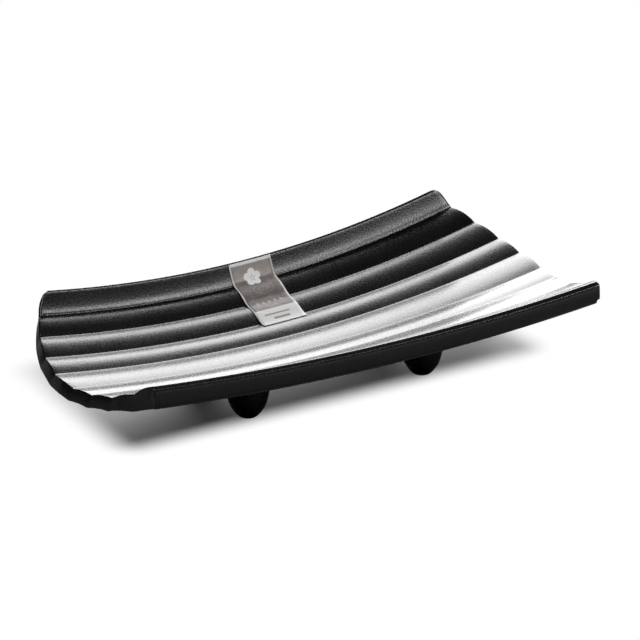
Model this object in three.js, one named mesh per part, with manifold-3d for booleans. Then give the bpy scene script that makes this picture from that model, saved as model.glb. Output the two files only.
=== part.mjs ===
// A long sushi plate: a ribbed, arched dish on four stub feet, with a foil sticker on its back wall.
// Millimetres. +X runs along the plate, +Y from the front lip to the back wall, +Z up.
// The dish's section lies in the YZ plane: Y starts at the front lip, Z at the lowest food surface.

import * as THREE from 'three';
import { mergeVertices } from 'three/addons/utils/BufferGeometryUtils.js';
import Module from 'manifold-3d';

// Dish, across: two arcs that meet at its lowest line
const DISH_WIDTH = 132;
const FRONT_RUN = 74;
const LIP_RISE = 25;
const BACK_RISE = 14.8;

// Ribs along the two arcs from the lip to the back wall, each arched between two creases.
// Their widths share out the arcs' whole length.
const RIB_WIDTHS = [16.5, 19.5, 18, 16, 20.5, 16.7, 17.3, 15.5];
const RIB_ARCH = 1.6;
const UNDER_ARCH = 0.8;

// Wall, measured upright, and the extra depth that turns the front lip into an apron
const WALL_FRONT = 7.4;
const WALL_BACK = 5.6;
const APRON_EXTRA = 5.2;
const APRON_FADE = 40;

// Front lip: a round nose under a narrow top that falls to the front
const LIP_NOSE_RADIUS = 2.6;
const LIP_TOP_WIDTH = 1.5;
const LIP_TOP_TILT = 20;
const APRON_CORNER_RADIUS = 3.0;
const APRON_CORNER_TURN = 68;

// Back wall: a step up from the last rib, a cove, and a round rim
const STEP_RISE = 1.1;
const STEP_LEAN = 0.4;
const COVE_RUN = 5.0;
const COVE_RISE = 9.1;
const COVE_FOOT_SLOPE = 46;
const COVE_TOP_SLOPE = 66;
const RIM_THICKNESS = 3.0;
const BACK_CORNER_RADIUS = 7.0;

// Dish, lengthwise: the arch lifts both ends, more at the back, and the back flares to the right
const SPAN = 150;
const LIP_LIFT = 8.1;
const RIM_LIFT = 16.1;
const RIM_FLARE = 15.3;

// End outline seen from above: longest near the lowest line, shorter at the lip and the rim
const HALF_LENGTH = 152.5;
const LIP_SETBACK = 16.2;
const RIM_SETBACK = 17.6;
const LIP_BOW = 1.15;
const RIM_BOW = 2.4;
const LIP_CORNER_RADIUS = 1.6;
const APRON_END_CUT = 1.6;
const APRON_END_FADE = 12;
const RIM_CORNER_DEPTH = 5.2;
const END_ROUND = 1.2;

// The ends lean out on their way down, so that the underside is longer than the food surface
const END_LEAN = 2.9;
const LEAN_START = 4;
const LEAN_FULL = 24;
const LEAN_FADE = 127;

// Feet: turned bowls with a spigot in a blind socket under the dish. Two bends shape their sides:
// the toe's is a radius at the floor, the flank's a share of the way that the toe already came.
const FOOT_HEIGHT = 21.4;
const FOOT_SPREAD = 54.5;
const FOOT_FRONT_Y = 47.5;
const FOOT_REAR_INSET = 36;
const FOOT_FLAT_RADIUS = 3.5;
const FOOT_TOE_RADIUS = 9.3;
const FOOT_TOE_HEIGHT = 6.3;
const FOOT_TOE_BEND = 5.8;
const FOOT_FLANK_BEND = 0.4;
const FOOT_ROOT_RADIUS = 12.8;
const SPIGOT_RADIUS = 5.0;
const SOCKET_DEPTH = 3.0;
const SPIGOT_ROOT = 4.0;
const FIT_GAP = 0.3;

// Sticker, over the back wall and the two ribs next to it
const LABEL_LEFT = -15.5;
const LABEL_RIGHT = 12.8;
const LABEL_RIBS = 2;
const LABEL_TAIL_SHARE = 0.22;
const LABEL_THICKNESS = 0.3;
const LABEL_BRIDGE = 0.14;
const LABEL_RIM_TURN = 30;

// Facets
const RIB_STEPS = 10;
const UNDER_STEPS = 4;
const ROUND_STEPS = 5;
const LENGTH_STEPS = 20;
const END_STEPS = 3;
const FOOT_SIDES = 28;
const FLANK_STEPS = 3;
const LABEL_STEPS = 4;

// Worked out from the sizes above
const FRONT_ANGLE = 2 * Math.atan2(LIP_RISE, FRONT_RUN);
const FRONT_ARC_RADIUS = FRONT_RUN / Math.sin(FRONT_ANGLE);
const FRONT_ARC_LENGTH = FRONT_ARC_RADIUS * FRONT_ANGLE;
const FOOT_REAR_Y = DISH_WIDTH - FOOT_REAR_INSET;
const BACK_RUN = DISH_WIDTH - FRONT_RUN;
const BACK_ANGLE = 2 * Math.atan2(BACK_RISE, BACK_RUN);
const BACK_ARC_RADIUS = BACK_RUN / Math.sin(BACK_ANGLE);
const GIRTH = FRONT_ARC_LENGTH + BACK_ARC_RADIUS * BACK_ANGLE;
const CREASES = creaseDistances();
const RIM_RADIUS = RIM_THICKNESS / 2;
const STEP_TOP = new THREE.Vector2(DISH_WIDTH + STEP_LEAN, BACK_RISE + STEP_RISE);
const RIM_CENTRE = new THREE.Vector2(STEP_TOP.x + COVE_RUN + RIM_RADIUS, STEP_TOP.y + COVE_RISE);
const RIM_DEPTH = RIM_CENTRE.x;
const RIM_TOP = RIM_CENTRE.y + RIM_RADIUS;
const RIM_START = Math.PI / 2 + THREE.MathUtils.degToRad(COVE_TOP_SLOPE);
const BACK_FACE = RIM_CENTRE.x + RIM_RADIUS;

const wasm = await Module();
wasm.setup();

// The dish's smooth base line at a distance along it from the front lip, with its upward normal.
function baseLine(distance) {
  const onFront = distance < FRONT_ARC_LENGTH;
  const slope = onFront
    ? (distance - FRONT_ARC_LENGTH) / FRONT_ARC_RADIUS
    : (distance - FRONT_ARC_LENGTH) / BACK_ARC_RADIUS;
  const radius = onFront ? FRONT_ARC_RADIUS : BACK_ARC_RADIUS;
  const point = new THREE.Vector2(FRONT_RUN + radius * Math.sin(slope), radius * (1 - Math.cos(slope)));
  const normal = new THREE.Vector2(-Math.sin(slope), Math.cos(slope));
  return { point, normal };
}

// Distances of the creases along the base line, from the front lip to the back wall's step.
function creaseDistances() {
  const total = RIB_WIDTHS.reduce((sum, width) => sum + width, 0);
  const distances = [0];
  for (const width of RIB_WIDTHS) {
    distances.push(distances.at(-1) + (width / total) * GIRTH);
  }
  return distances;
}

// A distance along the base line, at a share of the way across one rib.
function acrossRib(rib, share) {
  return THREE.MathUtils.lerp(CREASES[rib], CREASES[rib + 1], share);
}

// How far a rib stands over the base line at a share of its width, as a share of its arch.
function archShare(share) {
  return 4 * share * (1 - share);
}

function ribbedPoint(rib, share) {
  const { point, normal } = baseLine(acrossRib(rib, share));
  return point.addScaledVector(normal, RIB_ARCH * archShare(share));
}

// Food surface from the front lip to the foot of the back wall's step.
function foodSurface() {
  const points = [];
  for (let rib = 0; rib < RIB_WIDTHS.length; rib += 1) {
    for (let step = 0; step < RIB_STEPS; step += 1) {
      points.push(ribbedPoint(rib, step / RIB_STEPS));
    }
  }
  points.push(baseLine(GIRTH).point);
  return points;
}

// Points on an arc, both ends included. Angles are in radians.
function arcPoints(centre, radius, from, to, steps) {
  const points = [];
  for (let i = 0; i <= steps; i += 1) {
    const angle = from + ((to - from) * i) / steps;
    points.push(new THREE.Vector2(centre.x + radius * Math.cos(angle), centre.y + radius * Math.sin(angle)));
  }
  return points;
}

// Unit vector that climbs at a slope in degrees, in the section.
function slopeWay(degrees) {
  const angle = THREE.MathUtils.degToRad(degrees);
  return new THREE.Vector2(Math.cos(angle), Math.sin(angle));
}

// The back wall's cove, from the top of its step to the start of the rim.
function covePoints() {
  const [top] = rimPoints();
  const footWay = slopeWay(COVE_FOOT_SLOPE);
  const topWay = slopeWay(COVE_TOP_SLOPE);
  const footLength = top.clone().sub(STEP_TOP).cross(topWay) / footWay.cross(topWay);
  const bend = STEP_TOP.clone().addScaledVector(footWay, footLength);
  return new THREE.QuadraticBezierCurve(STEP_TOP, bend, top).getPoints(ROUND_STEPS).slice(0, -1);
}

function rimPoints() {
  return arcPoints(RIM_CENTRE, RIM_RADIUS, RIM_START, 0, 2 * ROUND_STEPS);
}

function wallDepth(y) {
  const share = y / DISH_WIDTH;
  const apron = Math.max(0, 1 - y / APRON_FADE);
  return THREE.MathUtils.lerp(WALL_FRONT, WALL_BACK, share) + APRON_EXTRA * apron * apron;
}

function underPoint(rib, share, clearance) {
  const { point } = baseLine(acrossRib(rib, share));
  point.y += UNDER_ARCH * archShare(share) - wallDepth(point.x) - clearance;
  return point;
}

// Underside from the back to the front, a clearance below the dish's own.
function underSurface(clearance) {
  const points = [];
  for (let rib = RIB_WIDTHS.length - 1; rib >= 0; rib -= 1) {
    for (let step = UNDER_STEPS; step > 0; step -= 1) {
      points.push(underPoint(rib, step / UNDER_STEPS, clearance));
    }
  }
  points.push(underPoint(0, 0, clearance));
  return points;
}

// Round corner from the back face into the underside.
function backCorner(clearance) {
  const under = underPoint(RIB_WIDTHS.length - 1, 1, clearance);
  const centre = new THREE.Vector2(BACK_FACE - BACK_CORNER_RADIUS, 0);
  const end = BACK_ANGLE - Math.PI / 2;
  const endY = centre.x + BACK_CORNER_RADIUS * Math.cos(end);
  const endZ = under.y + (endY - under.x) * Math.tan(BACK_ANGLE);
  centre.y = endZ - BACK_CORNER_RADIUS * Math.sin(end);
  return arcPoints(centre, BACK_CORNER_RADIUS, 0, end, ROUND_STEPS);
}

// The front lip above its front face: the nose, then the narrow top up to the first rib.
function lipTop() {
  const topEdge = ribbedPoint(0, 0);
  const tilt = THREE.MathUtils.degToRad(LIP_TOP_TILT);
  const outward = new THREE.Vector2(-Math.sin(tilt), Math.cos(tilt));
  const forward = new THREE.Vector2(-Math.cos(tilt), -Math.sin(tilt));
  const noseEnd = topEdge.clone().addScaledVector(forward, LIP_TOP_WIDTH);
  const noseCentre = noseEnd.clone().addScaledVector(outward, -LIP_NOSE_RADIUS);
  return arcPoints(noseCentre, LIP_NOSE_RADIUS, Math.PI, Math.PI / 2 + tilt, ROUND_STEPS);
}

const LIP_TOP = lipTop();
const FRONT_FACE = LIP_TOP[0].x;
const LIP_HEIGHT = ribbedPoint(0, 0).y;

// Corner between the underside and the front face.
function apronCorner(clearance) {
  const under = underPoint(0, 0, clearance);
  const centre = new THREE.Vector2(FRONT_FACE + APRON_CORNER_RADIUS, 0);
  const start = Math.PI + THREE.MathUtils.degToRad(APRON_CORNER_TURN);
  const startY = centre.x + APRON_CORNER_RADIUS * Math.cos(start);
  const rise = (under.x - startY) / Math.tan(THREE.MathUtils.degToRad(APRON_CORNER_TURN));
  centre.y = under.y + rise - APRON_CORNER_RADIUS * Math.sin(start);
  return arcPoints(centre, APRON_CORNER_RADIUS, start, Math.PI, ROUND_STEPS);
}

// The whole section as one closed outline, clockwise with Y to the right and Z up,
// with half the dish's length at each of its points. Its upper points come first.
function sectionOutline(clearance) {
  const above = [...LIP_TOP, ...foodSurface(), ...covePoints(), ...rimPoints()];
  const below = [...backCorner(clearance), ...underSurface(clearance)];
  const apron = apronCorner(clearance);
  const apronFoot = apron.at(0).y;
  const leanIn = (point) => THREE.MathUtils.smoothstep(point.x, LEAN_START, LEAN_FULL);
  const leanOut = (point) => THREE.MathUtils.smoothstep(point.x, LEAN_FADE, BACK_FACE);
  const leanShare = (point) => leanIn(point) * (1 - leanOut(point));
  const cutShare = (point) => 1 - THREE.MathUtils.smoothstep(point.x, FRONT_FACE, APRON_END_FADE);
  const underReach = (point) => reach(point) + END_LEAN * leanShare(point) - APRON_END_CUT * cutShare(point);
  const apronReach = (point) => reach(point) - cornerCut(point.y - apronFoot, APRON_END_CUT);
  return {
    upperCount: above.length,
    points: [...above, ...below, ...apron],
    halfLengths: [...above.map(reach), ...below.map(underReach), ...apron.map(apronReach)],
  };
}

// An open or closed line moved sideways to its left by an amount, with true corners.
function offsetLine(points, amount, closed) {
  const last = points.length - 1;
  return points.map((point, i) => {
    const before = closed || i > 0 ? points[(i + last) % points.length] : null;
    const after = closed || i < last ? points[(i + 1) % points.length] : null;
    const sides = [];
    if (before) {
      sides.push(leftOf(before, point));
    }
    if (after) {
      sides.push(leftOf(point, after));
    }
    const sum = sides.reduce((total, side) => total.add(side), new THREE.Vector2());
    const scale = sides.length === 2 ? 2 / sum.lengthSq() : 1;
    return new THREE.Vector2(point.x + sum.x * scale * amount, point.y + sum.y * scale * amount);
  });
}

function leftOf(from, to) {
  const along = new THREE.Vector2().subVectors(to, from).normalize();
  return new THREE.Vector2(-along.y, along.x);
}

// How much a rounded corner takes off at a distance from the edge that it rounds.
function cornerCut(distance, radius) {
  if (distance >= radius) {
    return 0;
  }
  const inside = radius - Math.max(0, distance);
  return radius - Math.sqrt(radius * radius - inside * inside);
}

// Half the food surface's length at a point of the section.
function reach(point) {
  const ahead = Math.max(0, (FRONT_RUN - point.x) / FRONT_RUN);
  const behind = Math.max(0, (point.x - FRONT_RUN) / (RIM_DEPTH - FRONT_RUN));
  const outline = HALF_LENGTH - LIP_SETBACK * ahead ** LIP_BOW - RIM_SETBACK * behind ** RIM_BOW;
  if (point.x > STEP_TOP.x) {
    const height = RIM_TOP - STEP_TOP.y;
    return outline - (RIM_CORNER_DEPTH / height) * cornerCut(RIM_TOP - point.y, height);
  }
  if (point.x < FRONT_RUN) {
    return outline - cornerCut(LIP_HEIGHT - point.y, LIP_CORNER_RADIUS);
  }
  return outline;
}

// A point of the section carried along the dish: the arch lifts it and the flare moves it back.
function onDish(x, point) {
  const share = point.x / RIM_DEPTH;
  const along = x / SPAN;
  const y = point.x + RIM_FLARE * share * along;
  const z = point.y + THREE.MathUtils.lerp(LIP_LIFT, RIM_LIFT, share) * along * along;
  return new THREE.Vector3(x, y, z);
}

// The dish, lofted through a cross-section for each step along it, the last few rounding each end's edge.
function dishLoft(clearance) {
  const { upperCount, points, halfLengths } = sectionOutline(clearance);
  const ring = (outline, setback, share) => (
    outline.map((point, i) => onDish((halfLengths[i] - setback) * share, point))
  );
  const endRing = (step, side) => {
    const angle = (step / END_STEPS) * (Math.PI / 2);
    const inset = offsetLine(points, -END_ROUND * (1 - Math.cos(angle)), true);
    return ring(inset, END_ROUND * (1 - Math.sin(angle)), side);
  };
  const rings = [];
  for (let step = END_STEPS; step > 0; step -= 1) {
    rings.push(endRing(step, -1));
  }
  for (let i = 0; i <= LENGTH_STEPS; i += 1) {
    rings.push(ring(points, END_ROUND, (2 * i) / LENGTH_STEPS - 1));
  }
  for (let step = 1; step <= END_STEPS; step += 1) {
    rings.push(endRing(step, 1));
  }
  return loftRings(rings, upperCount);
}

// Triangles that close a ring, wound to face along +X: a strip between its upper points and the
// rest, which goes the shorter way across at each step.
function endTriangles(ring, upperCount) {
  const triangles = [];
  let upper = 0;
  let lower = ring.length - 1;
  while (upper + 1 < upperCount || lower > upperCount) {
    const upperWay = upper + 1 < upperCount ? ring[upper + 1].distanceTo(ring[lower]) : Infinity;
    const lowerWay = lower > upperCount ? ring[upper].distanceTo(ring[lower - 1]) : Infinity;
    if (upperWay <= lowerWay) {
      triangles.push([upper, lower, upper + 1]);
      upper += 1;
    } else {
      triangles.push([upper, lower, lower - 1]);
      lower -= 1;
    }
  }
  return triangles;
}

// A closed body through rings with the same number of points, capped at both ends.
function loftRings(rings, upperCount) {
  const count = rings[0].length;
  const positions = rings.flat().flatMap((point) => [point.x, point.y, point.z]);
  const faces = [];
  for (let r = 0; r + 1 < rings.length; r += 1) {
    for (let i = 0; i < count; i += 1) {
      const next = (i + 1) % count;
      const a = r * count + i;
      const b = r * count + next;
      faces.push(a, a + count, b, b, a + count, b + count);
    }
  }
  for (const [a, b, c] of endTriangles(rings[0], upperCount)) {
    faces.push(a, c, b);
  }
  const last = (rings.length - 1) * count;
  for (const [a, b, c] of endTriangles(rings.at(-1), upperCount)) {
    faces.push(last + a, last + b, last + c);
  }
  const geometry = new THREE.BufferGeometry();
  geometry.setAttribute('position', new THREE.Float32BufferAttribute(positions, 3));
  geometry.setIndex(faces);
  return geometry;
}

function toSolid(geometry) {
  const bare = geometry.clone();
  bare.deleteAttribute('normal');
  bare.deleteAttribute('uv');
  const merged = mergeVertices(bare, 1e-4);
  return new wasm.Manifold(new wasm.Mesh({
    numProp: 3,
    vertProperties: new Float32Array(merged.attributes.position.array),
    triVerts: new Uint32Array(merged.index.array),
  }));
}

function toGeometry(solid) {
  const mesh = solid.getMesh();
  const geometry = new THREE.BufferGeometry();
  geometry.setAttribute('position', new THREE.BufferAttribute(mesh.vertProperties, 3));
  geometry.setIndex(new THREE.BufferAttribute(mesh.triVerts, 1));
  geometry.computeVertexNormals();
  return geometry;
}

// A turned piece about an upright axis at a place, from its profile of radius and height.
function turned(profile, x, y) {
  const geometry = new THREE.LatheGeometry(profile, FOOT_SIDES);
  geometry.rotateX(Math.PI / 2);
  geometry.translate(x, y, 0);
  return toSolid(geometry);
}

function cylinderProfile(radius, from, to) {
  return [
    new THREE.Vector2(0, from),
    new THREE.Vector2(radius, from),
    new THREE.Vector2(radius, to),
    new THREE.Vector2(0, to),
  ];
}

// Height of the dish's underside over a point of the floor.
function undersideHeight(x, y) {
  const sectionY = y / (1 + (RIM_FLARE / RIM_DEPTH) * (x / SPAN));
  const line = underSurface(0);
  const next = line.findIndex((point) => point.x < sectionY);
  const [behind, ahead] = [line[next - 1], line[next]];
  const share = (sectionY - ahead.x) / (behind.x - ahead.x);
  return onDish(x, new THREE.Vector2(sectionY, THREE.MathUtils.lerp(ahead.y, behind.y, share))).z;
}

// Turned bowl: a small flat, a round toe, and a flank that runs on from it up into the underside.
function footProfile(top) {
  const flat = new THREE.Vector2(FOOT_FLAT_RADIUS, -FOOT_HEIGHT);
  const toeBend = new THREE.Vector2(FOOT_TOE_BEND, -FOOT_HEIGHT);
  const toe = new THREE.Vector2(FOOT_TOE_RADIUS, -FOOT_HEIGHT + FOOT_TOE_HEIGHT);
  const flankBend = toe.clone().addScaledVector(toe.clone().sub(toeBend), FOOT_FLANK_BEND);
  const root = new THREE.Vector2(FOOT_ROOT_RADIUS, top);
  return [
    new THREE.Vector2(0, -FOOT_HEIGHT),
    ...new THREE.QuadraticBezierCurve(flat, toeBend, toe).getPoints(ROUND_STEPS).slice(0, -1),
    ...new THREE.QuadraticBezierCurve(toe, flankBend, root).getPoints(FLANK_STEPS),
    new THREE.Vector2(0, top),
  ];
}

const FEET = [
  { name: 'foot_front_left', x: -FOOT_SPREAD, y: FOOT_FRONT_Y },
  { name: 'foot_front_right', x: FOOT_SPREAD, y: FOOT_FRONT_Y },
  { name: 'foot_rear_left', x: -FOOT_SPREAD, y: FOOT_REAR_Y },
  { name: 'foot_rear_right', x: FOOT_SPREAD, y: FOOT_REAR_Y },
];

function footSolid({ x, y }, dishWithGap) {
  const under = undersideHeight(x, y);
  const stub = turned(footProfile(under + WALL_BACK / 2), x, y).subtract(dishWithGap);
  const spigotTop = under + SOCKET_DEPTH - FIT_GAP;
  const spigot = turned(cylinderProfile(SPIGOT_RADIUS, under - SPIGOT_ROOT, spigotTop), x, y);
  return stub.add(spigot);
}

function dishSolid() {
  let solid = toSolid(dishLoft(0));
  for (const { x, y } of FEET) {
    const under = undersideHeight(x, y);
    const socket = cylinderProfile(SPIGOT_RADIUS + FIT_GAP, under - SPIGOT_ROOT, under + SOCKET_DEPTH);
    solid = solid.subtract(turned(socket, x, y));
  }
  return solid;
}

// The sticker's path over the food surface, bridging the creases, from the lower edge to the rim.
function labelPath() {
  const tailRib = RIB_WIDTHS.length - LABEL_RIBS - 1;
  const points = [
    ribbedPoint(tailRib, 1 - LABEL_TAIL_SHARE),
    ribbedPoint(tailRib, 1 - LABEL_BRIDGE / 2),
  ];
  for (let rib = RIB_WIDTHS.length - LABEL_RIBS; rib < RIB_WIDTHS.length; rib += 1) {
    for (let step = 0; step <= RIB_STEPS / 2; step += 1) {
      const share = THREE.MathUtils.lerp(LABEL_BRIDGE, 1 - LABEL_BRIDGE, step / (RIB_STEPS / 2));
      points.push(ribbedPoint(rib, share));
    }
  }
  const rimEnd = RIM_START - THREE.MathUtils.degToRad(LABEL_RIM_TURN);
  return [...points, ...covePoints(), ...arcPoints(RIM_CENTRE, RIM_RADIUS, RIM_START, rimEnd, 2)];
}

function labelGeometry() {
  const path = labelPath();
  const lower = offsetLine(path, FIT_GAP, false);
  const upper = offsetLine(path, FIT_GAP + LABEL_THICKNESS, false);
  const outline = [...upper, ...lower.reverse()];
  const rings = [];
  for (let i = 0; i <= LABEL_STEPS; i += 1) {
    const x = THREE.MathUtils.lerp(LABEL_LEFT, LABEL_RIGHT, i / LABEL_STEPS);
    rings.push(outline.map((point) => onDish(x, point)));
  }
  const geometry = loftRings(rings, upper.length);
  geometry.computeVertexNormals();
  return geometry;
}

function blackGlaze() {
  return new THREE.MeshStandardMaterial({ color: 0x121214, roughness: 0.34, metalness: 0 });
}

function foilPaper() {
  return new THREE.MeshStandardMaterial({ color: 0x7c7570, roughness: 0.4, metalness: 0.3 });
}

function namedMesh(name, geometry, material) {
  const mesh = new THREE.Mesh(geometry, material);
  mesh.name = name;
  return mesh;
}

// The origin is on the floor, under the middle of the plate's outline.
function buildPlate() {
  const dishWithGap = toSolid(dishLoft(FIT_GAP));
  const plate = new THREE.Group();
  plate.add(namedMesh('plate_body', toGeometry(dishSolid()), blackGlaze()));
  for (const foot of FEET) {
    plate.add(namedMesh(foot.name, toGeometry(footSolid(foot, dishWithGap)), blackGlaze()));
  }
  plate.add(namedMesh('label_sticker', labelGeometry(), foilPaper()));
  const middle = new THREE.Box3().setFromObject(plate).getCenter(new THREE.Vector3());
  plate.position.set(-middle.x, -middle.y, FOOT_HEIGHT);
  return plate;
}

export default buildPlate();
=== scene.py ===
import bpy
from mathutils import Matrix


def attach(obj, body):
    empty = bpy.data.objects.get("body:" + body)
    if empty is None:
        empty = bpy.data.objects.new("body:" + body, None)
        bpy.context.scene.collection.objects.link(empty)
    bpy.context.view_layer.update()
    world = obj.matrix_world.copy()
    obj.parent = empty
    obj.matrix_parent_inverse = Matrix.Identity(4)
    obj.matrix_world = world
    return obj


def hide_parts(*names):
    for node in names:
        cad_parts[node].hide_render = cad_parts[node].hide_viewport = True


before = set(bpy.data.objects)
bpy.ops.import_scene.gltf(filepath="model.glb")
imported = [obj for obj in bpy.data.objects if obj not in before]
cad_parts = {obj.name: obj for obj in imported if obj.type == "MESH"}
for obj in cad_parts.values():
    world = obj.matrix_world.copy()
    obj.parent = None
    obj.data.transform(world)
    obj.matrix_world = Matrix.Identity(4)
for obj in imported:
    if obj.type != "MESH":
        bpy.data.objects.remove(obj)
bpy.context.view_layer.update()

import math

import bpy
import numpy as np
from mathutils import Vector

# The plate's sizes, in millimetres, as in the part's source. The section lies in the YZ plane:
# Y starts at the front lip and Z at the lowest food surface.

# Food surface and underside
DISH_WIDTH = 132
FRONT_RUN = 74
LIP_RISE = 25
BACK_RISE = 14.8
RIB_WIDTHS = [16.5, 19.5, 18, 16, 20.5, 16.7, 17.3, 15.5]
UNDER_ARCH = 0.8
WALL_FRONT = 7.4
WALL_BACK = 5.6
APRON_EXTRA = 5.2
APRON_FADE = 40

# Front lip and its apron
LIP_NOSE_RADIUS = 2.6
LIP_TOP_WIDTH = 1.5
LIP_TOP_TILT = math.radians(20)
APRON_CORNER_RADIUS = 3.0
APRON_CORNER_TURN = math.radians(68)

# Back wall
STEP_RISE = 1.1
STEP_LEAN = 0.4
COVE_RUN = 5.0
COVE_RISE = 9.1
COVE_FOOT_SLOPE = math.radians(46)
COVE_TOP_SLOPE = math.radians(66)
RIM_THICKNESS = 3.0
BACK_CORNER_RADIUS = 7.0

# The sweep along the plate, and the ends' outline
SPAN = 150
LIP_LIFT = 8.1
RIM_LIFT = 16.1
RIM_FLARE = 15.3
HALF_LENGTH = 152.5
LIP_SETBACK = 16.2
RIM_SETBACK = 17.6
LIP_BOW = 1.15
RIM_BOW = 2.4
LIP_CORNER_RADIUS = 1.6
APRON_END_CUT = 1.6
APRON_END_FADE = 12
RIM_CORNER_DEPTH = 5.2
END_LEAN = 2.9
LEAN_START = 4
LEAN_FULL = 24

# Feet
FOOT_HEIGHT = 21.4
FOOT_SPREAD = 54.5
FOOT_FRONT_Y = 47.5
FOOT_REAR_INSET = 36
FOOT_FLAT_RADIUS = 3.5
FOOT_TOE_RADIUS = 9.3
FOOT_TOE_HEIGHT = 6.3
FOOT_TOE_BEND = 5.8
FOOT_FLANK_BEND = 0.4
FOOT_ROOT_RADIUS = 12.8
FIT_GAP = 0.3

# Label
LABEL_LEFT = -15.5
LABEL_RIGHT = 12.8
LABEL_RIBS = 2
LABEL_TAIL_SHARE = 0.22
LABEL_BRIDGE = 0.14

# Middle of the plate's outline in the section's Y
MIDDLE_Y = 75.322

# Changed here from the part's source, as the photograph shows them: flatter front ribs, ends
# rounded further on the back wall and less elsewhere, a lean of the ends that fades more gently,
# a front face whose upper part leans back, and a thinner label that ends lower on the rim
RIB_ARCHES = [1.1, 1.1, 1.1, 1.1, 1.3, 1.5, 1.6, 1.6]
END_ROUND = 0.9
WALL_END_ROUND = 1.7
RIM_END_ROUND = 1.2
WALL_ROUND_BLEND = 1.0
WALL_ROUND_DEPTH = 6
RIM_ROUND_START = 4
RIM_ROUND_FULL = 1
LEAN_FADE = 105
LEAN_END = 165
FACE_LEAN = math.radians(12)
FACE_LEAN_DEPTH = 6.0
LABEL_RIM_TURN = math.radians(14)
LABEL_SHEET = 0.12

# The label's print, in millimetres from its upper left corner
PRINT_SOFTNESS = 0.25
BORDER = 0.9
TOP_BORDER = 1.7
BLOSSOM_U = 13.4
BLOSSOM_V = 10.0
PETALS = 5
PETAL_REACH = 3.3
PETAL_RADIUS = 2.35
STAMEN_HALF_WIDTH = 0.12
STAMEN_REACH = 2.6
HEART_RADIUS = 0.9
RIPPLE_U = 16.0
RIPPLE_V = 19.5
RIPPLE_STRETCH = 1.9
RIPPLE_STEP = 1.7
RIPPLE_REACH = 5.0
RIPPLE_FADE = 1.5
RIPPLE_LINE = (0.3, 0.9)
DIAMONDS = 5
DIAMOND_START = 4.5
DIAMOND_V = 29.5
DIAMOND_SIZE = 1.3
LABEL_FOOT_V = 36.0
# Each bar's offset from the middle, its depth below the foot's edge, half length and half height
BARS = [(-1.0, 4.2, 8.2, 0.45), (0.5, 7.6, 5.2, 0.8)]

# Mesh fineness
ARC_POINTS = 60
SHORT_ARC_POINTS = 40
LEANING_POINTS = 20
LABEL_END_POINTS = 12
FOOT_ARC_POINTS = 30
FOOT_SIDES = 72
FOOT_TOP_ROUNDS = 8
FOOT_TOP_SHARES = (1.0, 0.99, 0.6, 0.3)
LABEL_STEP = 0.35
LABEL_SOFTENING = 4
LABEL_COLUMNS = 15
LABEL_UV_SPAN = 60.0
STATIONS = 96
END_STEPS = 7
END_BLEND = 1.2
FINE_STEP = 0.3
CREASE_SOFTNESS = 0.42
LONGEST_STEP = 1.4
TURN_STEP = math.radians(7)

rib_count = len(RIB_WIDTHS)
front_angle = 2 * math.atan2(LIP_RISE, FRONT_RUN)
front_radius = FRONT_RUN / math.sin(front_angle)
front_length = front_radius * front_angle
back_run = DISH_WIDTH - FRONT_RUN
back_angle = 2 * math.atan2(BACK_RISE, back_run)
back_radius = back_run / math.sin(back_angle)
girth = front_length + back_radius * back_angle
creases = np.concatenate([[0], np.cumsum(RIB_WIDTHS) / sum(RIB_WIDTHS) * girth])
rim_radius = RIM_THICKNESS / 2
step_top = np.array([DISH_WIDTH + STEP_LEAN, BACK_RISE + STEP_RISE])
rim_centre = step_top + [COVE_RUN + rim_radius, COVE_RISE]
rim_top = rim_centre[1] + rim_radius
back_face = rim_centre[0] + rim_radius


# The section


def smoothstep(value, low, high):
    share = np.clip((value - low) / (high - low), 0, 1)
    return share * share * (3 - 2 * share)


def base_line(distance):
    """The food surface without its ribs, and its normals, at a distance along it from the lip."""
    on_front = distance < front_length
    radius = np.where(on_front, front_radius, back_radius)
    slope = (distance - front_length) / radius
    point = np.stack([FRONT_RUN + radius * np.sin(slope), radius * (1 - np.cos(slope))], -1)
    return point, np.stack([-np.sin(slope), np.cos(slope)], -1)


def ribbed(rib, share):
    share = np.asarray(share, float)
    point, normal = base_line(creases[rib] + (creases[rib + 1] - creases[rib]) * share)
    return point + normal * (RIB_ARCHES[rib] * 4 * share * (1 - share))[..., None]


def under_line(rib, share):
    share = np.asarray(share, float)
    point, _ = base_line(creases[rib] + (creases[rib + 1] - creases[rib]) * share)
    apron = np.clip(1 - point[..., 0] / APRON_FADE, 0, None)
    across = point[..., 0] / DISH_WIDTH
    wall = WALL_FRONT + (WALL_BACK - WALL_FRONT) * across + APRON_EXTRA * apron**2
    point[..., 1] += UNDER_ARCH * 4 * share * (1 - share) - wall
    return point


def arc(centre, radius, start, end, count):
    angle = np.linspace(start, end, count)
    return np.stack([centre[0] + radius * np.cos(angle), centre[1] + radius * np.sin(angle)], -1)


def quadratic(start, bend, end, count):
    """A curve from start to end whose two tangents meet at bend."""
    t = np.linspace(0, 1, count)[:, None]
    return (1 - t) ** 2 * start + 2 * t * (1 - t) * bend + t * t * end


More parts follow.
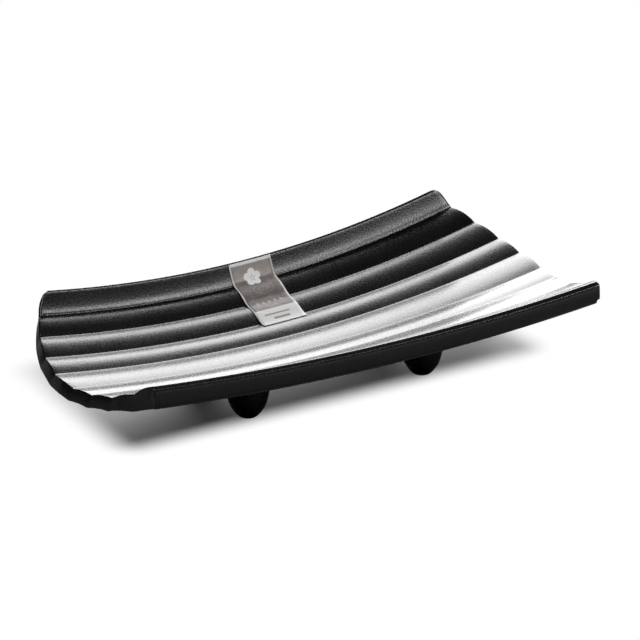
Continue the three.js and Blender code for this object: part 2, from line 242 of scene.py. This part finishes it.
def lip_line():
    """The front face's leaning part, the nose over it and the narrow top."""
    outward = np.array([-math.sin(LIP_TOP_TILT), math.cos(LIP_TOP_TILT)])
    forward = np.array([-math.cos(LIP_TOP_TILT), -math.sin(LIP_TOP_TILT)])
    top_edge = ribbed(0, 0.0)
    face = top_edge + forward * LIP_TOP_WIDTH - outward * LIP_NOSE_RADIUS - [LIP_NOSE_RADIUS, 0]
    lean = FACE_LEAN_DEPTH * math.tan(FACE_LEAN / 2)
    nose_centre = face + [LIP_NOSE_RADIUS + lean, 0]
    nose_end = math.pi / 2 + LIP_TOP_TILT
    nose = arc(nose_centre, LIP_NOSE_RADIUS, math.pi - FACE_LEAN, nose_end, SHORT_ARC_POINTS)
    foot = face - [0, FACE_LEAN_DEPTH]
    bend = face - [0, FACE_LEAN_DEPTH / 2]
    leaning = quadratic(foot, bend, nose[0], LEANING_POINTS)[:-1]
    return np.concatenate([leaning, nose, top_edge[None]])


lip_top = lip_line()
front_face = lip_top[0, 0]
lip_height = lip_top[:, 1].max()


def rim_arc():
    return arc(rim_centre, rim_radius, math.pi / 2 + COVE_TOP_SLOPE, 0, ARC_POINTS)


def cove():
    """The back wall's hollow face, from the step up to the rim."""
    top = rim_arc()[0]
    foot_way = np.array([math.cos(COVE_FOOT_SLOPE), math.sin(COVE_FOOT_SLOPE)])
    top_way = np.array([math.cos(COVE_TOP_SLOPE), math.sin(COVE_TOP_SLOPE)])
    chord = top - step_top
    turn = foot_way[0] * top_way[1] - foot_way[1] * top_way[0]
    bend = step_top + foot_way * (chord[0] * top_way[1] - chord[1] * top_way[0]) / turn
    return quadratic(step_top, bend, top, SHORT_ARC_POINTS)


def upper_chain():
    """From the top of the front face over the food surface to the top of the back face."""
    ribs = [ribbed(rib, np.linspace(0, 1, ARC_POINTS)[:-1]) for rib in range(rib_count)]
    end, _ = base_line(np.array([girth]))
    return np.concatenate([lip_top[:-1], *ribs, end, cove()[:-1], rim_arc()])


def lower_chain():
    """From the foot of the back face under the dish to the foot of the front face."""
    under = under_line(rib_count - 1, 1.0)
    end = back_angle - math.pi / 2
    centre = np.array([back_face - BACK_CORNER_RADIUS, 0.0])
    end_y = centre[0] + BACK_CORNER_RADIUS * math.cos(end)
    end_z = under[1] + (end_y - under[0]) * math.tan(back_angle)
    centre[1] = end_z - BACK_CORNER_RADIUS * math.sin(end)
    back_corner = arc(centre, BACK_CORNER_RADIUS, 0, end, ARC_POINTS)
    shares = np.linspace(1, 0, ARC_POINTS)[:-1]
    ribs = [under_line(rib, shares) for rib in reversed(range(rib_count))]
    foot = under_line(0, 0.0)
    start = math.pi + APRON_CORNER_TURN
    corner_centre = np.array([front_face + APRON_CORNER_RADIUS, 0.0])
    start_y = corner_centre[0] + APRON_CORNER_RADIUS * math.cos(start)
    rise = (foot[0] - start_y) / math.tan(APRON_CORNER_TURN)
    corner_centre[1] = foot[1] + rise - APRON_CORNER_RADIUS * math.sin(start)
    apron = arc(corner_centre, APRON_CORNER_RADIUS, start, math.pi, SHORT_ARC_POINTS)
    return np.concatenate([back_corner, *ribs, foot[None], apron])


def along(points):
    return np.concatenate([[0], np.cumsum(np.linalg.norm(np.diff(points, axis=0), axis=1))])


def resample(points, distances):
    reached = along(points)
    return np.stack([np.interp(distances, reached, points[:, k]) for k in (0, 1)], -1)


def filtered(points, weights):
    return np.stack([np.convolve(points[:, k], weights, "valid") for k in (0, 1)], -1)


def softened(points):
    """The line with its creases rounded, and with points closer together where it turns."""
    total = along(points)[-1]
    count = int(total / FINE_STEP) + 1
    even = resample(points, np.linspace(0, total, count))
    reach_steps = int(3 * CREASE_SOFTNESS / FINE_STEP) + 1
    offsets = np.arange(-reach_steps, reach_steps + 1) * FINE_STEP
    weights = np.exp(-0.5 * (offsets / CREASE_SOFTNESS) ** 2)
    weights /= weights.sum()
    head = 2 * even[0] - even[reach_steps:0:-1]
    tail = 2 * even[-1] - even[-2:-reach_steps - 2:-1]
    smooth = filtered(np.concatenate([head, even, tail]), weights)
    way = np.diff(smooth, axis=0)
    heading = np.unwrap(np.arctan2(way[:, 1], way[:, 0]))
    turn = np.abs(np.diff(heading, prepend=heading[0]))
    cost = np.linalg.norm(way, axis=1) / LONGEST_STEP + turn / TURN_STEP
    spent = np.concatenate([[0], np.cumsum(cost)])
    kept = np.interp(np.linspace(0, spent[-1], int(spent[-1]) + 2), spent, along(smooth))
    return resample(smooth, kept)


# The sweep


def corner_cut(distance, radius):
    inside = radius - np.clip(distance, 0, radius)
    return radius - np.sqrt(radius**2 - inside**2)


def reach(points):
    """How far the plate reaches to either side at each point of the section."""
    y, z = points[:, 0], points[:, 1]
    ahead = np.clip((FRONT_RUN - y) / FRONT_RUN, 0, None)
    behind = np.clip((y - FRONT_RUN) / (rim_centre[0] - FRONT_RUN), 0, None)
    outline = HALF_LENGTH - LIP_SETBACK * ahead**LIP_BOW - RIM_SETBACK * behind**RIM_BOW
    height = rim_top - step_top[1]
    rim_corner = corner_cut(rim_top - z, height) * RIM_CORNER_DEPTH / height
    lip_corner = corner_cut(lip_height - z, LIP_CORNER_RADIUS)
    rim_cut = np.where(y > step_top[0], rim_corner, 0)
    lip_cut = np.where(y < FRONT_RUN, lip_corner, 0)
    return outline - rim_cut - lip_cut


def lower_reach(points):
    y = points[:, 0]
    faded = 1 - smoothstep(y, LEAN_FADE, LEAN_END)
    lean = END_LEAN * smoothstep(y, LEAN_START, LEAN_FULL) * faded
    cut = APRON_END_CUT * (1 - smoothstep(y, front_face, APRON_END_FADE))
    return reach(points) + lean - cut


def end_rounding(points):
    """How far the ends are rounded over: further on the back wall, and less at its thin rim."""
    y, z = points[:, 0], points[:, 1]
    behind = smoothstep(y, DISH_WIDTH - WALL_ROUND_BLEND, step_top[0] + WALL_ROUND_BLEND)
    above = smoothstep(z, step_top[1] - WALL_ROUND_DEPTH, step_top[1])
    at_rim = smoothstep(z, rim_centre[1] - RIM_ROUND_START, rim_centre[1] - RIM_ROUND_FULL)
    wall = WALL_END_ROUND - END_ROUND + at_rim * (RIM_END_ROUND - WALL_END_ROUND)
    return END_ROUND + behind * above * wall


def lift(share, place):
    """How much the dish has risen at a place along it, and a share of its width."""
    return (LIP_LIFT + (RIM_LIFT - LIP_LIFT) * share) * place**2


def on_dish(x, points):
    """Section points carried along the dish, in the row frame, in millimetres."""
    share = points[..., 0] / rim_centre[0]
    place = x / SPAN
    y = points[..., 0] + RIM_FLARE * share * place - MIDDLE_Y
    z = points[..., 1] + lift(share, place) + FOOT_HEIGHT
    return np.stack([x + 0 * y, y, z], -1)


def outward_normals(points, window):
    """Unit normals of a closed outline, averaged over a length of it."""
    way = np.roll(points, -1, axis=0) - points
    length = np.linalg.norm(way, axis=1)
    side = np.stack([-way[:, 1], way[:, 0]], -1)
    place = np.concatenate([[0], np.cumsum(length)[:-1]])
    middle = place + length / 2
    gap = np.abs(middle[None] - place[:, None])
    gap = np.minimum(gap, length.sum() - gap)
    weight = np.clip(1 - gap / window, 0, None)
    normal = weight @ side
    return normal / np.linalg.norm(normal, axis=1, keepdims=True)


# Pieces


def make_piece(name, points, faces, material, slot, *nodes):
    """A smooth mesh from points in millimetres, which rides on the plate and replaces its nodes."""
    mesh = bpy.data.meshes.new(name)
    mesh.from_pydata((np.asarray(points) / 1000).tolist(), [], faces)
    mesh.validate()
    mesh.shade_smooth()
    mesh.materials.append(material)
    piece = bpy.data.objects.new(name, mesh)
    bpy.context.scene.collection.objects.link(piece)
    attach(piece, "root")
    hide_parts(*nodes)
    return piece


def zip_chains(ring, upper_count):
    """Triangles between a ring's upper points and the rest, facing along +X."""
    triangles = []
    upper = 0
    lower = len(ring) - 1
    while upper + 1 < upper_count or lower > upper_count:
        upper_way = lower_way = math.inf
        if upper + 1 < upper_count:
            upper_way = np.linalg.norm(ring[upper + 1] - ring[lower])
        if lower > upper_count:
            lower_way = np.linalg.norm(ring[upper] - ring[lower - 1])
        if upper_way <= lower_way:
            triangles.append((upper, lower, upper + 1))
            upper += 1
        else:
            triangles.append((upper, lower, lower - 1))
            lower -= 1
    return triangles


def loft(rings, upper_count):
    """A closed mesh through rings of points, with both ends filled."""
    count = len(rings[0])
    faces = []
    for r in range(len(rings) - 1):
        a = r * count
        for i in range(count):
            j = (i + 1) % count
            faces.append((a + i, a + count + i, a + count + j, a + j))
    last = (len(rings) - 1) * count
    faces += [(a, c, b) for a, b, c in zip_chains(rings[0], upper_count)]
    faces += [(last + a, last + b, last + c) for a, b, c in zip_chains(rings[-1], upper_count)]
    return np.concatenate(rings), faces


def make_dish(material):
    upper = softened(upper_chain())
    lower = softened(lower_chain())
    outline = np.concatenate([upper, lower])
    half = np.concatenate([reach(upper), lower_reach(lower)])
    normals = outward_normals(outline, END_BLEND)
    rounding = end_rounding(outline)

    def ring(points, setback, share):
        return on_dish((half - setback) * share, points)

    def end_ring(step, side):
        angle = step / END_STEPS * math.pi / 2
        inset = outline - normals * rounding[:, None] * (1 - math.cos(angle))
        return ring(inset, rounding * (1 - math.sin(angle)), side)

    rings = [end_ring(step, -1) for step in range(END_STEPS, 0, -1)]
    rings += [ring(outline, rounding, share) for share in np.linspace(-1, 1, STATIONS + 1)]
    rings += [end_ring(step, 1) for step in range(1, END_STEPS + 1)]
    points, faces = loft(rings, len(upper))
    return make_piece("ribbed_dish", points, faces, material, "black_resin", "plate_body")


underside = lower_chain()
underside = underside[np.argsort(underside[:, 0])]


def foot_top(x, y):
    """Height over the floor of a foot's top, a fitting gap below the dish's underside."""
    section_y = y / (1 + RIM_FLARE / rim_centre[0] * x / SPAN)
    height = np.interp(section_y, underside[:, 0], underside[:, 1])
    return height + lift(section_y / rim_centre[0], x / SPAN) + FOOT_HEIGHT - FIT_GAP


def foot_profile():
    """The turned bowl's radius and height over the floor, from the flat to the root."""
    flat = np.array([FOOT_FLAT_RADIUS, 0.0])
    toe_bend = np.array([FOOT_TOE_BEND, 0.0])
    toe = np.array([FOOT_TOE_RADIUS, FOOT_TOE_HEIGHT])
    flank_bend = toe + (toe - toe_bend) * FOOT_FLANK_BEND
    root = np.array([FOOT_ROOT_RADIUS, FOOT_HEIGHT])
    lower = quadratic(flat, toe_bend, toe, FOOT_ARC_POINTS)
    return np.concatenate([lower[:-1], quadratic(toe, flank_bend, root, FOOT_ARC_POINTS)])


def make_foot(name, x, y, material):
    """A turned bowl whose upper edge follows the underside, a fitting gap below it."""
    profile = foot_profile()
    turn = np.linspace(0, 2 * math.pi, FOOT_SIDES, endpoint=False)
    cosine, sine = np.cos(turn), np.sin(turn)

    def radius_at(z):
        return np.interp(z, profile[:, 1], profile[:, 0])

    def ring(radius, z):
        return np.stack([x + radius * cosine, y + radius * sine, z], -1)

    height = np.full(FOOT_SIDES, FOOT_HEIGHT / 2)
    for _ in range(FOOT_TOP_ROUNDS):
        radius = radius_at(height)
        height = foot_top(x + radius * cosine, y + radius * sine)
    rings = [ring(FOOT_FLAT_RADIUS, 0 * turn)]
    shares = along(profile) / along(profile)[-1]
    for share in shares[1:-1]:
        z = height * np.interp(share, shares, profile[:, 1]) / FOOT_HEIGHT
        rings.append(ring(radius_at(z), z))
    for share in FOOT_TOP_SHARES:
        radius = radius_at(height) * share
        rings.append(ring(radius, foot_top(x + radius * cosine, y + radius * sine)))
    points = np.concatenate([*rings, [[x, y, 0]], [[x, y, foot_top(x, y)]]])
    points[:, 1] -= MIDDLE_Y
    faces = []
    for r in range(len(rings) - 1):
        for i in range(FOOT_SIDES):
            a = r * FOOT_SIDES + i
            b = r * FOOT_SIDES + (i + 1) % FOOT_SIDES
            faces.append((a, b, b + FOOT_SIDES, a + FOOT_SIDES))
    last = (len(rings) - 1) * FOOT_SIDES
    for i in range(FOOT_SIDES):
        j = (i + 1) % FOOT_SIDES
        faces.append((j, i, len(points) - 2))
        faces.append((last + i, last + j, len(points) - 1))
    return make_piece(name + "_bowl", points, faces, material, "black_resin", name)


def label_line():
    """The sticker's path over the food surface, from its foot up to the rim."""
    tail_rib = rib_count - LABEL_RIBS - 1
    tail = np.linspace(1 - LABEL_TAIL_SHARE, 1 - LABEL_BRIDGE / 2, LABEL_END_POINTS)
    points = [ribbed(tail_rib, tail)]
    for rib in range(tail_rib + 1, rib_count):
        points.append(ribbed(rib, np.linspace(LABEL_BRIDGE, 1 - LABEL_BRIDGE, SHORT_ARC_POINTS)))
    rim_start = math.pi / 2 + COVE_TOP_SLOPE
    rim_end = rim_start - LABEL_RIM_TURN
    points += [cove()[:-1], arc(rim_centre, rim_radius, rim_start, rim_end, LABEL_END_POINTS)]
    return np.concatenate(points)


def make_label(material):
    """A thin closed sheet along the label's path, with its place on the print as UV."""
    path = label_line()
    total = along(path)[-1]
    even = resample(path, np.linspace(0, total, int(total / LABEL_STEP) + 1))
    window = np.hanning(2 * LABEL_SOFTENING + 3)[1:-1]
    padded = np.pad(even, ((LABEL_SOFTENING,) * 2, (0, 0)), "reflect", reflect_type="odd")
    line = filtered(padded, window / window.sum())
    way = np.gradient(line, axis=0)
    normal = np.stack([-way[:, 1], way[:, 0]], -1) / np.linalg.norm(way, axis=1, keepdims=True)
    down = along(line)[-1] - along(line)
    count = len(line)
    points, prints = [], []
    for above in (FIT_GAP + LABEL_SHEET, FIT_GAP):
        for x in np.linspace(LABEL_LEFT, LABEL_RIGHT, LABEL_COLUMNS):
            points.append(on_dish(x, line + normal * above))
            prints.append(np.stack([np.full(count, x - LABEL_LEFT), down], -1))
    faces = []
    back = LABEL_COLUMNS * count
    for c in range(LABEL_COLUMNS - 1):
        for i in range(count - 1):
            a, b = c * count + i, (c + 1) * count + i
            faces.append((a, b, b + 1, a + 1))
            faces.append((back + a, back + a + 1, back + b + 1, back + b))
    for c in range(LABEL_COLUMNS - 1):
        a, b = c * count, (c + 1) * count
        faces.append((a, back + a, back + b, b))
        top_a, top_b = a + count - 1, b + count - 1
        faces.append((top_a, top_b, back + top_b, back + top_a))
    right = (LABEL_COLUMNS - 1) * count
    for i in range(count - 1):
        faces.append((i, i + 1, back + i + 1, back + i))
        faces.append((right + i, back + right + i, back + right + i + 1, right + i + 1))
    points = np.concatenate(points)
    sheet = make_piece("label_sheet", points, faces, material, "foil_paper", "label_sticker")
    layer = sheet.data.uv_layers.new(name="print")
    flat = np.concatenate(prints) / LABEL_UV_SPAN
    corners = np.array([loop.vertex_index for loop in sheet.data.loops])
    layer.data.foreach_set("uv", flat[corners].ravel())
    return sheet


# Materials


class Nodes:
    """A short way to write a material's node tree."""

    def __init__(self, name):
        self.material = bpy.data.materials.new(name)
        self.material.use_nodes = True
        self.tree = self.material.node_tree
        self.shader = self.tree.nodes["Principled BSDF"]
        self.output = self.tree.nodes["Material Output"]

    def link(self, source, target):
        self.tree.links.new(source, target)

    def feed(self, value, socket):
        if isinstance(value, bpy.types.NodeSocket):
            self.link(value, socket)
        else:
            socket.default_value = value

    def add(self, kind, inputs=None, **settings):
        node = self.tree.nodes.new(kind)
        for key, value in settings.items():
            setattr(node, key, value)
        for key, value in (inputs or {}).items():
            self.feed(value, node.inputs[key])
        return node

    def math(self, operation, *values, clamp=False):
        inputs = dict(enumerate(values))
        return self.add("ShaderNodeMath", inputs, operation=operation, use_clamp=clamp).outputs[0]

    def plus(self, first, second, clamp=False):
        return self.math("ADD", first, second, clamp=clamp)

    def minus(self, first, second, clamp=False):
        return self.math("SUBTRACT", first, second, clamp=clamp)

    def times(self, first, second):
        return self.math("MULTIPLY", first, second)

    def largest(self, first, second):
        return self.math("MAXIMUM", first, second)

    def gap(self, first, second):
        return self.math("ABSOLUTE", self.minus(first, second))

    def length(self, first, second):
        return self.math("SQRT", self.plus(self.times(first, first), self.times(second, second)))

    def noise(self, vector, scale, detail=2.0, roughness=0.5):
        inputs = {"Vector": vector, "Scale": scale, "Detail": detail, "Roughness": roughness}
        return self.add("ShaderNodeTexNoise", inputs).outputs["Fac"]

    def range(self, value, low, high, to_low=0.0, to_high=1.0, kind="LINEAR"):
        inputs = {
            "Value": value, "From Min": low, "From Max": high, "To Min": to_low, "To Max": to_high,
        }
        return self.add("ShaderNodeMapRange", inputs, interpolation_type=kind).outputs["Result"]

    def spread(self, noise, to_low=0.0, to_high=1.0):
        """The part of a noise's values that is common, spread over a range."""
        return self.range(noise, 0.3, 0.7, to_low, to_high)

    def mix(self, factor, first, second):
        node = self.add("ShaderNodeMix", {"Factor": factor}, data_type="RGBA")
        for key, value in (("A", first), ("B", second)):
            socket = [s for s in node.inputs if s.name == key and s.type == "RGBA"][0]
            self.feed(value, socket)
        return [s for s in node.outputs if s.type == "RGBA"][0]

    def bump(self, height, strength, distance, **normal):
        inputs = {"Height": height, "Strength": strength, "Distance": distance, **normal}
        return self.add("ShaderNodeBump", inputs).outputs["Normal"]


def grey(level):
    return (level, level, level, 1)


# Resin. Noise scales are per metre. A bump is its strength and its depth in metres.
RESIN_DARK = (0.0022, 0.0022, 0.003, 1)
RESIN_PALE = (0.0038, 0.0038, 0.0048, 1)
RESIN_ROUGHNESS = (0.255, 0.28)
RESIN_IOR = 1.52
CLOUD_SCALE = 28
WAVE_SCALE = 60
WAVE_BUMP = (0.25, 0.0002)
PEBBLE_SCALE = 700.0
GRAIN_SCALE = 1000
GRAIN_SHARE = 0.6
GRAIN_ROUGHNESS = 0.03
GRAIN_BUMP = (0.3, 0.00012)


def black_resin():
    """Satin black moulded resin: near black, with a fine pebble grain and faint unevenness."""
    n = Nodes("black_resin_satin")
    place = n.add("ShaderNodeTexCoord").outputs["Object"]
    cloud = n.noise(place, CLOUD_SCALE, detail=3)
    grain = n.noise(place, GRAIN_SCALE, detail=1)
    cells = n.add("ShaderNodeTexVoronoi", {"Vector": place, "Scale": PEBBLE_SCALE})
    pebble = cells.outputs["Distance"]
    waviness = n.noise(place, WAVE_SCALE, detail=1)
    n.link(n.mix(n.spread(cloud), RESIN_DARK, RESIN_PALE), n.shader.inputs["Base Color"])
    rough = n.spread(cloud, *RESIN_ROUGHNESS)
    rough = n.plus(rough, n.spread(grain, -GRAIN_ROUGHNESS, GRAIN_ROUGHNESS))
    n.link(rough, n.shader.inputs["Roughness"])
    wavy = n.bump(waviness, *WAVE_BUMP)
    fine = n.plus(n.times(grain, GRAIN_SHARE), n.times(pebble, 1 - GRAIN_SHARE))
    n.link(n.bump(fine, *GRAIN_BUMP, Normal=wavy), n.shader.inputs["Normal"])
    n.shader.inputs["IOR"].default_value = RESIN_IOR
    return n.material


# Label. Noise scales are per millimetre of the print.
FOIL_PALE = (0.34, 0.305, 0.285, 1)
FOIL_DARK = (0.075, 0.065, 0.062, 1)
LABEL_FOOT_DARK = (0.66, 0.65, 0.64, 1)
LABEL_FOOT_PALE = (0.8, 0.79, 0.78, 1)
BORDER_INK = (0.96, 0.955, 0.95, 1)
BLOSSOM_INK = (0.98, 0.98, 0.97, 1)
DIAMOND_INK = (0.45, 0.42, 0.4, 1)
RIPPLE_INK = (0.5, 0.47, 0.45, 1)
BAR_INK = (0.12, 0.11, 0.11, 1)
STAMEN_STRENGTH = 0.7
DIAMOND_STRENGTH = 0.6
RIPPLE_STRENGTH = 0.3
BAR_STRENGTH = 0.8
FLECK_SCALE = 1.6
FLECK_SHADE = 0.35
FLECK_ROUGHNESS = 0.05
FLECK_BUMP = (0.15, 0.00004)
STAIN_SCALE = 0.25
STAIN_SHADE = 0.15
# Painted shade: how much darker the foil is at the label's foot than at its top
PAINTED_SHADE_AT_FOOT = 0.8
FOIL_METALLIC = 0.35
FOIL_ROUGHNESS = 0.42
INK_ROUGHNESS = 0.55


def label_paper():
    """A printed foil label: a mottled brown-grey field with a pale border, a plain five-petal
    blossom, faint ripples, a row of diamonds, and a pale foot with two plain bars on it."""
    n = Nodes("label_foil")
    uv = n.add("ShaderNodeSeparateXYZ", {0: n.add("ShaderNodeTexCoord").outputs["UV"]})
    u = n.times(uv.outputs[0], LABEL_UV_SPAN)
    v = n.times(uv.outputs[1], LABEL_UV_SPAN)
    width = LABEL_RIGHT - LABEL_LEFT

    def above(value, edge):
        return n.range(value, edge - PRINT_SOFTNESS, edge + PRINT_SOFTNESS)

    def below(value, edge):
        return n.range(value, edge - PRINT_SOFTNESS, edge + PRINT_SOFTNESS, 1.0, 0.0)

    def bar(offset, depth, half_length, half_height):
        within = below(n.gap(u, width / 2 + offset), half_length)
        return n.times(within, below(n.gap(v, LABEL_FOOT_V + depth), half_height))

    # Blossom: one petal, repeated round the middle by folding the angle
    du = n.minus(u, BLOSSOM_U)
    dv = n.minus(v, BLOSSOM_V)
    radius = n.length(du, dv)
    turn = n.math("ARCTAN2", du, n.times(dv, -1.0))
    sector = 2 * math.pi / PETALS
    folded = n.minus(n.math("WRAP", n.plus(turn, sector / 2), sector, 0.0), sector / 2)
    out = n.times(radius, n.math("COSINE", folded))
    aside = n.times(radius, n.math("SINE", folded))
    petal = below(n.length(n.minus(out, PETAL_REACH), aside), PETAL_RADIUS)
    stamen = below(n.math("ABSOLUTE", aside), STAMEN_HALF_WIDTH)
    stamen = n.times(stamen, below(radius, STAMEN_REACH))
    blossom = n.minus(petal, n.times(stamen, STAMEN_STRENGTH), clamp=True)
    blossom = n.largest(blossom, below(radius, HEART_RADIUS))

    # Ripples
    du = n.math("DIVIDE", n.minus(u, RIPPLE_U), RIPPLE_STRETCH)
    ring = n.length(du, n.minus(v, RIPPLE_V))
    lines = n.math("COSINE", n.times(ring, 2 * math.pi / RIPPLE_STEP))
    fade = n.range(ring, RIPPLE_REACH - RIPPLE_FADE, RIPPLE_REACH, 1.0, 0.0)
    ripples = n.times(n.range(lines, *RIPPLE_LINE), fade)

    # A row of diamonds
    span = n.times(above(u, DIAMOND_START), below(u, width - DIAMOND_START))
    step = (width - 2 * DIAMOND_START) / DIAMONDS
    within = n.math("WRAP", n.minus(u, DIAMOND_START), step, 0.0)
    across = n.plus(n.gap(within, step / 2), n.gap(v, DIAMOND_V))
    diamond = n.times(below(across, DIAMOND_SIZE), span)

    # Border and foot
    border = below(n.math("MINIMUM", u, n.minus(width, u)), BORDER)
    border = n.largest(border, below(v, TOP_BORDER))
    foot = above(v, LABEL_FOOT_V)
    bars = n.plus(bar(*BARS[0]), bar(*BARS[1]))

    # Foil, lighter at the top and darker towards the foot as painted shade, with mottled tone, and
    # the ink on it
    flat = n.add("ShaderNodeCombineXYZ", {"X": u, "Y": v}).outputs[0]
    fleck = n.noise(flat, FLECK_SCALE, detail=4, roughness=0.65)
    stain = n.noise(flat, STAIN_SCALE)
    # Painted shade: the foil darkens from the top down to the foot; the flecks and stains are its
    # mottled tone
    foil_tone_and_painted_shade = n.range(v, 0, LABEL_FOOT_V, 0.0, PAINTED_SHADE_AT_FOOT)
    foil_tone_and_painted_shade = n.plus(foil_tone_and_painted_shade, n.spread(fleck, -FLECK_SHADE, FLECK_SHADE))
    foil_tone_and_painted_shade = n.plus(foil_tone_and_painted_shade, n.spread(stain, -STAIN_SHADE, STAIN_SHADE), clamp=True)
    colour = n.mix(foil_tone_and_painted_shade, FOIL_PALE, FOIL_DARK)
    colour = n.mix(n.times(diamond, DIAMOND_STRENGTH), colour, DIAMOND_INK)
    colour = n.mix(n.times(ripples, RIPPLE_STRENGTH), colour, RIPPLE_INK)
    colour = n.mix(blossom, colour, BLOSSOM_INK)
    colour = n.mix(foot, colour, n.mix(n.spread(fleck), LABEL_FOOT_DARK, LABEL_FOOT_PALE))
    colour = n.mix(n.times(bars, BAR_STRENGTH), colour, BAR_INK)
    colour = n.mix(border, colour, BORDER_INK)
    n.link(colour, n.shader.inputs["Base Color"])
    ink = n.largest(n.largest(blossom, foot), border)
    n.link(n.range(ink, 0, 1, FOIL_METALLIC, 0.0), n.shader.inputs["Metallic"])
    rough = n.range(ink, 0, 1, FOIL_ROUGHNESS, INK_ROUGHNESS)
    rough = n.plus(rough, n.spread(fleck, -FLECK_ROUGHNESS, FLECK_ROUGHNESS))
    n.link(rough, n.shader.inputs["Roughness"])
    n.link(n.bump(fleck, *FLECK_BUMP), n.shader.inputs["Normal"])
    return n.material


resin = black_resin()
make_dish(resin)
for side, x in (("left", -FOOT_SPREAD), ("right", FOOT_SPREAD)):
    make_foot(f"foot_front_{side}", x, FOOT_FRONT_Y, resin)
    make_foot(f"foot_rear_{side}", x, DISH_WIDTH - FOOT_REAR_INSET, resin)
make_label(label_paper())


# Camera, at the photograph's place. The target is in the section's coordinates.

CAMERA_AZIMUTH = math.radians(-31.381)
CAMERA_ELEVATION = math.radians(22.302)
CAMERA_DISTANCE = 1.5
TARGET_X = 19.499
TARGET_Y = 96.179
FOCAL_PIXELS = 2730.675
PHOTO_PIXELS = 640
SENSOR_WIDTH = 36

camera_data = bpy.data.cameras.new("camera")
camera_data.sensor_width = SENSOR_WIDTH
camera_data.lens = FOCAL_PIXELS / PHOTO_PIXELS * SENSOR_WIDTH
camera_data.clip_start = 0.05
camera_data.clip_end = 20
camera = bpy.data.objects.new("camera", camera_data)
back = Vector((
    math.sin(CAMERA_AZIMUTH) * math.cos(CAMERA_ELEVATION),
    -math.cos(CAMERA_AZIMUTH) * math.cos(CAMERA_ELEVATION),
    math.sin(CAMERA_ELEVATION),
))
target = Vector((TARGET_X, TARGET_Y - MIDDLE_Y, FOOT_HEIGHT)) / 1000
camera.location = target + back * CAMERA_DISTANCE
camera.rotation_mode = "QUATERNION"
camera.rotation_quaternion = (-back).to_track_quat("-Z", "Y")
bpy.context.scene.collection.objects.link(camera)
bpy.context.scene.camera = camera


# Lamps


def softbox(name, azimuth, elevation, distance, width, height, radiance):
    """A soft lamp that faces the plate. Its direction is in degrees, from +Y toward +X and up."""
    a, e = math.radians(azimuth), math.radians(elevation)
    toward = Vector((math.sin(a) * math.cos(e), math.cos(a) * math.cos(e), math.sin(e)))
    data = bpy.data.lights.new(name, "AREA")
    data.shape = "RECTANGLE"
    data.size = width
    data.size_y = height
    data.energy = radiance * math.pi * width * height
    lamp = bpy.data.objects.new(name, data)
    lamp.location = toward * distance
    lamp.rotation_mode = "QUATERNION"
    lamp.rotation_quaternion = (-toward).to_track_quat("-Z", "Y")
    lamp.visible_camera = False
    bpy.context.scene.collection.objects.link(lamp)


softbox("back_softbox", 37, 27, distance=1.8, width=1.7, height=0.95, radiance=8.2)
softbox("low_softbox", 33, 8.5, distance=1.2, width=1.3, height=0.2, radiance=6.5)
softbox("side_softbox", 129, 33, distance=1.5, width=0.32, height=0.2, radiance=19.0)
softbox("front_softbox", 212, 58, distance=1.4, width=0.9, height=0.9, radiance=3.8)
softbox("front_card", 150, 4, distance=1.2, width=1.0, height=0.14, radiance=1.0)


# Floor and world

# The box on the floor, in metres, inside which the camera sees the plate's shadow
SHADOW_MIDDLE_Y = 0.03
SHADOW_HALF_LENGTH = 0.118
SHADOW_HALF_WIDTH = 0.052
SHADOW_FADE = 0.024
FLOOR_HALF = 4
FLOOR_ROUGHNESS = 0.9
# The floor's two greys to the camera inside that box, and its noise scale per metre
FLOOR_GREYS = (0.89, 0.91)
FLOOR_CLOUD_SCALE = 6
# What every ray but the camera's sees: a darker floor and a nearly dark world
UNSEEN_FLOOR = (0.22, 0.22, 0.23, 1)
UNSEEN_WORLD = 0.015


def floor_material():
    """A pale floor that keeps the plate's shadow, and is plain white to the camera beyond it."""
    n = Nodes("pale_floor")
    camera_ray = n.add("ShaderNodeLightPath").outputs["Is Camera Ray"]
    place = n.add("ShaderNodeTexCoord").outputs["Object"]
    parts = n.add("ShaderNodeSeparateXYZ", {0: place}).outputs
    beside = n.minus(n.math("ABSOLUTE", parts[0]), SHADOW_HALF_LENGTH)
    before = n.minus(n.gap(parts[1], SHADOW_MIDDLE_Y), SHADOW_HALF_WIDTH)
    away = n.length(n.largest(beside, 0.0), n.largest(before, 0.0))
    far = n.times(n.range(away, 0.0, SHADOW_FADE, kind="SMOOTHSTEP"), camera_ray)
    dark, pale = FLOOR_GREYS
    seen = n.mix(n.noise(place, FLOOR_CLOUD_SCALE), grey(dark), grey(pale))
    n.link(n.mix(camera_ray, UNSEEN_FLOOR, seen), n.shader.inputs["Base Color"])
    n.shader.inputs["Roughness"].default_value = FLOOR_ROUGHNESS
    n.shader.inputs["Specular IOR Level"].default_value = 0.0
    white = n.add("ShaderNodeEmission", {"Color": grey(1), "Strength": 1.0})
    blend = n.add("ShaderNodeMixShader", {0: far, 1: n.shader.outputs[0], 2: white.outputs[0]})
    n.link(blend.outputs[0], n.output.inputs["Surface"])
    return n.material


corners = [(sx * FLOOR_HALF, sy * FLOOR_HALF, 0) for sx, sy in ((-1, -1), (1, -1), (1, 1), (-1, 1))]
floor_mesh = bpy.data.meshes.new("floor")
floor_mesh.from_pydata(corners, [], [(0, 1, 2, 3)])
floor_mesh.materials.append(floor_material())
floor = bpy.data.objects.new("floor", floor_mesh)
bpy.context.scene.collection.objects.link(floor)

world = bpy.data.worlds.new("studio")
bpy.context.scene.world = world
world.use_nodes = True
tree = world.node_tree
background = tree.nodes["Background"]
background.inputs["Color"].default_value = grey(1)
camera_ray = tree.nodes.new("ShaderNodeLightPath").outputs["Is Camera Ray"]
level = tree.nodes.new("ShaderNodeMapRange")
level.inputs["To Min"].default_value = UNSEEN_WORLD
level.inputs["To Max"].default_value = 1.0
tree.links.new(camera_ray, level.inputs["Value"])
tree.links.new(level.outputs["Result"], background.inputs["Strength"])

bpy.context.scene.view_settings.view_transform = "Standard"
